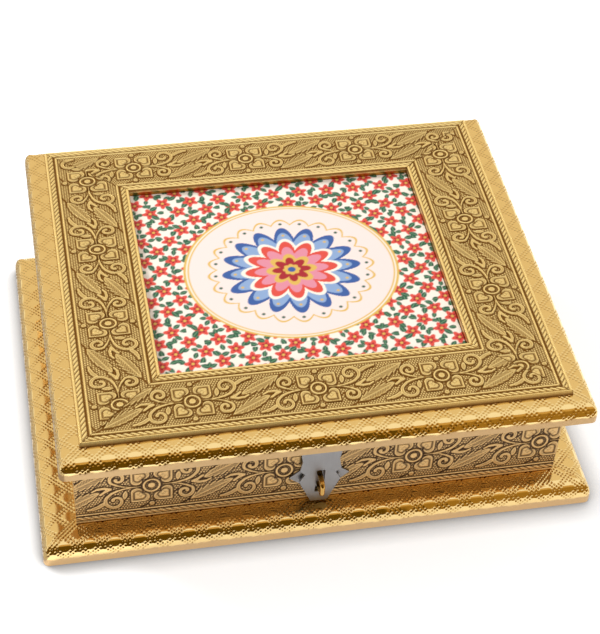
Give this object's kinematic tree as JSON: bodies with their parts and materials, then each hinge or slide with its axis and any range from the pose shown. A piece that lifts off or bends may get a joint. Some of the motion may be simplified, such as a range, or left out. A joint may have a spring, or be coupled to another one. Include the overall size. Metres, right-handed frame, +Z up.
{
  "type": "dry fruit box",
  "caption": "Low rectangular gift box for dry fruit: foil-covered plinth and walls, divided inside, with a hinged lid that frames a print, closed by a front hasp and staple.",
  "frame": {"origin": "on the floor under the middle of the box", "axes": "+X to the right along the front, +Y to the back where the lid hinges are, +Z up"},
  "size_m": [0.275, 0.224, 0.0825],
  "materials": {
    "lizard_foil": "fibreboard under bright gold foil, embossed in a fine lizard-skin grain",
    "floral_foil": "fibreboard under antique gold foil, embossed with flowers and dark in the recesses",
    "board": "raw fibreboard",
    "velvet": "maroon velvet paper",
    "base_paper": "black felt paper",
    "print": "matt laminated print",
    "hinge_metal": "brassed steel",
    "hasp_steel": "plain grey plated steel",
    "staple_brass": "bright brassed wire"
  },
  "bodies": {
    "base": {"plinth_front": "lizard_foil", "wall_foil_front": "floral_foil", "wall_front": "board", "plinth_right": "lizard_foil", "wall_foil_right": "floral_foil", "wall_right": "board", "plinth_back": "lizard_foil", "wall_foil_back": "floral_foil", "wall_back": "board", "plinth_left": "lizard_foil", "wall_foil_left": "floral_foil", "wall_left": "board", "hinge_body_leaf_left": "hinge_metal", "hinge_pin_left": "hinge_metal", "hinge_body_leaf_right": "hinge_metal", "hinge_pin_right": "hinge_metal", "base_board": "board", "base_cover_sheet": "base_paper", "floor_liner": "velvet", "divider_long": "velvet", "divider_cross": "velvet", "hinge_body_nails": "hinge_metal", "staple_plate": "hasp_steel", "staple_plate_nails": "hasp_steel", "staple": "staple_brass"},
    "lid": {"lid_moulding_front": "lizard_foil", "lid_frame_front": "floral_foil", "lid_moulding_right": "lizard_foil", "lid_frame_right": "floral_foil", "lid_moulding_back": "lizard_foil", "lid_frame_back": "floral_foil", "lid_moulding_left": "lizard_foil", "lid_frame_left": "floral_foil", "hinge_lid_leaf_left": "hinge_metal", "hinge_lid_leaf_right": "hinge_metal", "lid_board": "board", "lid_liner": "velvet", "hinge_lid_nails": "hinge_metal", "picture_print": "print", "hasp_leaf": "hasp_steel", "hasp_leaf_nails": "hasp_steel", "hasp_pin": "hasp_steel"},
    "hasp": {"hasp_flap": "hasp_steel"}
  },
  "joints": [
    {"name": "lid_hinge", "type": "hinge", "parent": "base", "child": "lid", "pos_m": [0, 0.0935, 0.0675], "axis": [-1, 0, 0], "range_deg": [0, 95]},
    {"name": "hasp_hinge", "type": "hinge", "parent": "lid", "child": "hasp", "pos_m": [-0.0015, -0.0935, 0.0679], "axis": [-1, 0, 0], "range_deg": [0, 88]}
  ]
}
